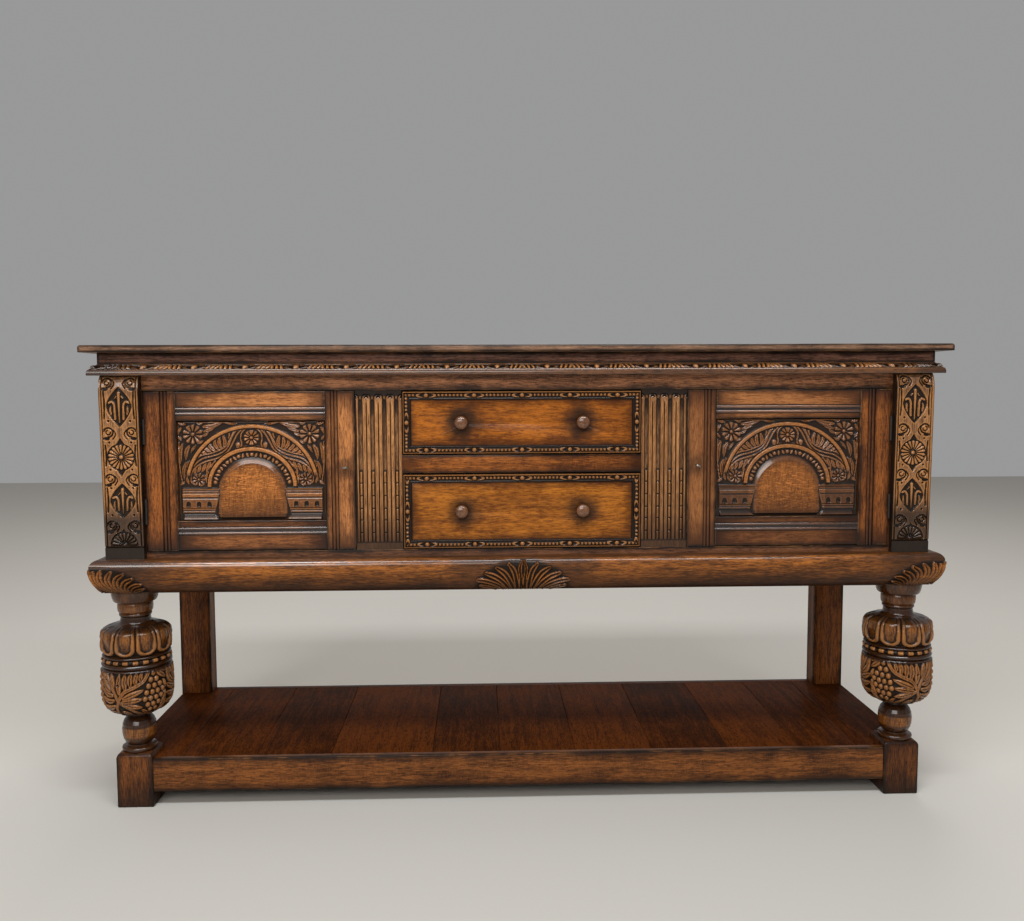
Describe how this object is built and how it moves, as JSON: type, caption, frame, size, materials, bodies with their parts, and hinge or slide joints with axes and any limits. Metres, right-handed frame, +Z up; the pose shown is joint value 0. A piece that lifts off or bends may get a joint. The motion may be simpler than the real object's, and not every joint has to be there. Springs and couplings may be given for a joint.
{
  "type": "dresser base",
  "caption": "Carved oak dresser base on cup-and-cover front legs, with panelled cupboard doors beside central drawers, a cushion moulding and a low potboard shelf.",
  "frame": {"origin": "on the floor, under the middle of the overall box", "axes": "+Z up, the front with doors and drawers faces -Y, +X to the viewer's right"},
  "size_m": [1.836, 0.537, 0.998],
  "materials": {
    "carcass_oak": "waxed dark oak",
    "carved_oak": "waxed dark oak with black recesses and worn high places",
    "potboard_oak": "polished dark oak",
    "inner_oak": "plain unpolished oak",
    "knob_wood": "polished turned wood",
    "lock_iron": "dark worn iron",
    "key_steel": "worn steel"
  },
  "bodies": {
    "carcass": {"back_boards": "inner_oak", "back_leg_left": "carcass_oak", "back_leg_right": "carcass_oak", "back_rails": "inner_oak", "carcass_bottom": "inner_oak", "corbels": "carved_oak", "corner_posts": "carcass_oak", "cornice_mouldings": "carved_oak", "cushion_mouldings": "carved_oak", "drawer_divider": "carcass_oak", "drawer_runners": "inner_oak", "frieze_boards": "carcass_oak", "front_bottom_rail": "carcass_oak", "front_leg_left": "carved_oak", "front_leg_right": "carved_oak", "front_top_rail": "carcass_oak", "hinge_pins": "lock_iron", "hinge_post_leaves": "lock_iron", "muntins": "carved_oak", "partitions": "inner_oak", "potboard_back_rail": "potboard_oak", "potboard_end_rails": "potboard_oak", "potboard_front_rail": "potboard_oak", "potboard_planks": "potboard_oak", "side_panels": "carcass_oak", "side_rails_left": "carcass_oak", "side_rails_right": "carcass_oak", "top_board": "carcass_oak"},
    "left_door": {"left_door_hinge_stile": "carcass_oak", "left_door_lock_stile": "carcass_oak", "left_door_top_rail": "carcass_oak", "left_door_bottom_rail": "carcass_oak", "left_door_panel": "carved_oak", "left_door_hinge_leaves": "lock_iron", "left_lock_case": "lock_iron"},
    "left_bolt": {"left_lock_bolt": "lock_iron"},
    "left_door_key": {"left_key": "key_steel"},
    "right_door": {"right_door_hinge_stile": "carcass_oak", "right_door_lock_stile": "carcass_oak", "right_door_top_rail": "carcass_oak", "right_door_bottom_rail": "carcass_oak", "right_door_panel": "carved_oak", "right_door_hinge_leaves": "lock_iron", "right_lock_case": "lock_iron"},
    "right_bolt": {"right_lock_bolt": "lock_iron"},
    "right_door_key": {"right_key": "key_steel"},
    "upper_drawer": {"upper_drawer_front": "carcass_oak", "upper_drawer_sides": "inner_oak", "upper_drawer_back": "inner_oak", "upper_drawer_bottom": "inner_oak", "upper_drawer_edge_moulding": "carved_oak", "upper_drawer_knobs": "knob_wood"},
    "lower_drawer": {"lower_drawer_front": "carcass_oak", "lower_drawer_sides": "inner_oak", "lower_drawer_back": "inner_oak", "lower_drawer_bottom": "inner_oak", "lower_drawer_edge_moulding": "carved_oak", "lower_drawer_knobs": "knob_wood"}
  },
  "joints": [
    {"name": "left_door_hinge", "type": "hinge", "parent": "carcass", "child": "left_door", "pos_m": [-0.7975, -0.2348, 0.7325], "axis": [0, 0, -1], "range_deg": [0, 100]},
    {"name": "left_key_turn", "type": "hinge", "parent": "left_door", "child": "left_door_key", "pos_m": [-0.37645, -0.2315, 0.73975], "axis": [0, 1, 0], "range_deg": [0, 180]},
    {"name": "left_bolt_slide", "type": "slide", "parent": "left_door", "child": "left_bolt", "axis": [1, 0, 0], "range_m": [0, 0.008]},
    {"name": "right_door_hinge", "type": "hinge", "parent": "carcass", "child": "right_door", "pos_m": [0.7975, -0.2348, 0.7325], "axis": [0, 0, 1], "range_deg": [0, 100]},
    {"name": "right_key_turn", "type": "hinge", "parent": "right_door", "child": "right_door_key", "pos_m": [0.37645, -0.2315, 0.73975], "axis": [0, -1, 0], "range_deg": [0, 180]},
    {"name": "right_bolt_slide", "type": "slide", "parent": "right_door", "child": "right_bolt", "axis": [-1, 0, 0], "range_m": [0, 0.008]},
    {"name": "upper_drawer_slide", "type": "slide", "parent": "carcass", "child": "upper_drawer", "axis": [0, -1, 0], "range_m": [0, 0.3]},
    {"name": "lower_drawer_slide", "type": "slide", "parent": "carcass", "child": "lower_drawer", "axis": [0, -1, 0], "range_m": [0, 0.3]}
  ],
  "couplings": [
    {"joint": "left_key_turn", "follows": "left_bolt_slide", "rad_per_m": 392.7},
    {"joint": "right_key_turn", "follows": "right_bolt_slide", "rad_per_m": 392.7}
  ]
}
